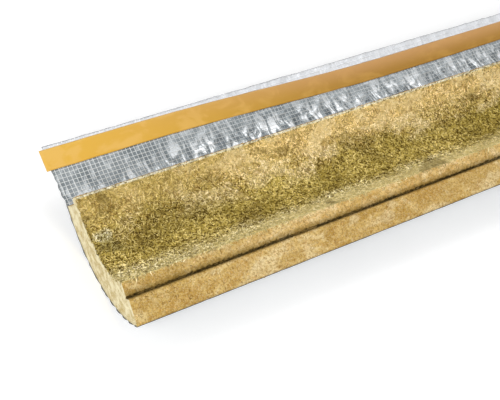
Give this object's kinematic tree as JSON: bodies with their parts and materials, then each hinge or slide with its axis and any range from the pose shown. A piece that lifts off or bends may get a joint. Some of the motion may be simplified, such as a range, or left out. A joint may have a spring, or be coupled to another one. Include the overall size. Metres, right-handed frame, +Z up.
{
  "type": "mineral wool pipe section segment",
  "caption": "Trough-shaped segment of a stone wool pipe section with stepped edges, a foil-faced back and a foil lap with a release strip.",
  "frame": {"origin": "middle of the underside of the box round the part, on the floor", "axes": "+X along the pipe, away from the end where the release strip overhangs; +Z up; +Y towards the edge with the tongue and the foil lap"},
  "size_m": [1.005, 0.2198, 0.0648],
  "materials": {
    "stone_wool": "matt, coarse and fibrous, with a paler cut end",
    "scrim_foil": "crinkled foil over a square grid of glass threads",
    "release_paper": "satin siliconed paper"
  },
  "bodies": {
    "root": {"wool_segment": "stone_wool", "foil_facing": "scrim_foil", "release_strip": "release_paper"}
  },
  "joints": []
}
